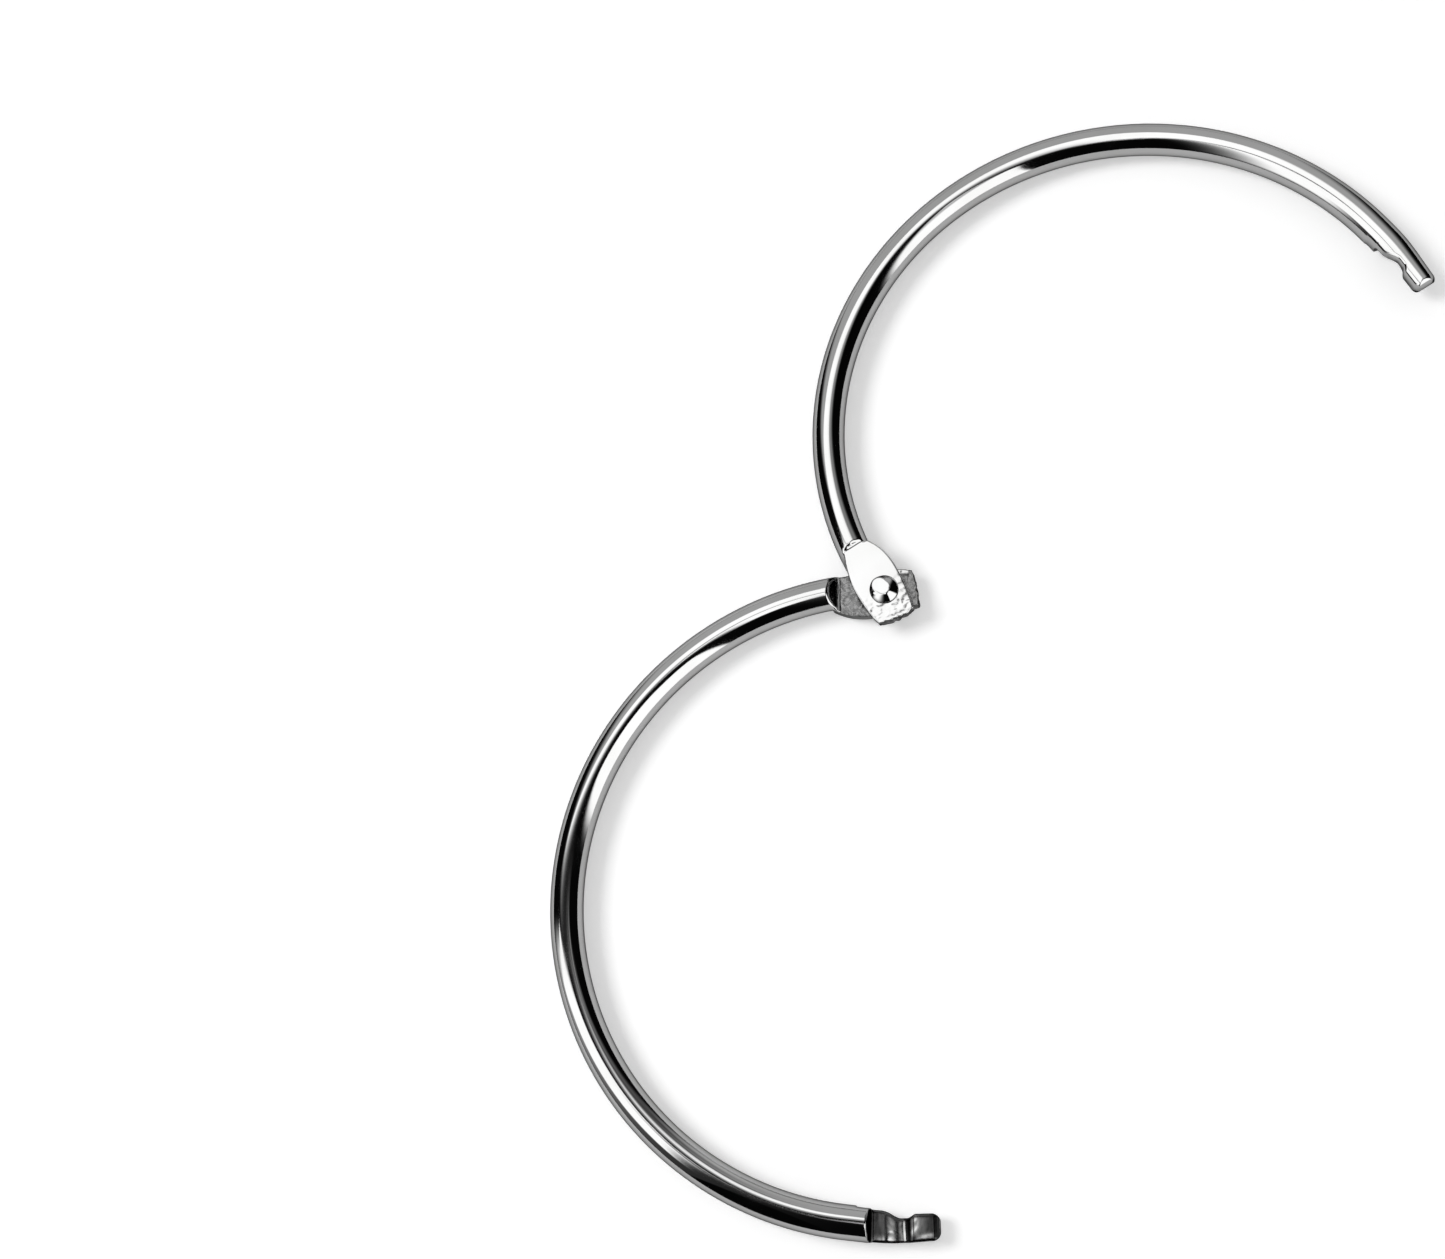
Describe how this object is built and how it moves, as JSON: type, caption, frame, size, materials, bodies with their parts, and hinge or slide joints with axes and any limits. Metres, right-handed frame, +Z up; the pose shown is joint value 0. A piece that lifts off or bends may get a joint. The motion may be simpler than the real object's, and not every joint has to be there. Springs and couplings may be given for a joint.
{
  "type": "binder ring",
  "caption": "Hinged metal binder ring lying open: round half rings riveted at one end, with hooks at the other that snap together to close it.",
  "frame": {"origin": "middle of the open ring's box, on the plane between the two flattened plates", "axes": "+X from the rivet through the middle of the mouth, +Y across the ring towards the half with the upper plate, +Z up along the rivet"},
  "size_m": [0.067, 0.152, 0.0058],
  "materials": {
    "nickel_plate": "polished"
  },
  "bodies": {
    "lower_half": {"lower_half_ring": "nickel_plate"},
    "rivet": {"rivet": "nickel_plate"},
    "upper_half": {"upper_half_ring": "nickel_plate"}
  },
  "joints": [
    {"name": "ring_hinge", "type": "hinge", "parent": "lower_half", "child": "rivet", "pos_m": [-0.00972, 0, 0], "axis": [0, 0, -1], "range_deg": [-14, 120]},
    {"name": "sideways_spring", "type": "hinge", "parent": "rivet", "child": "upper_half", "pos_m": [-0.00972, 0, 0], "axis": [0.866, -0.5, 0], "range_deg": [0, 0.8], "stiffness_Nm_per_rad": 20}
  ]
}
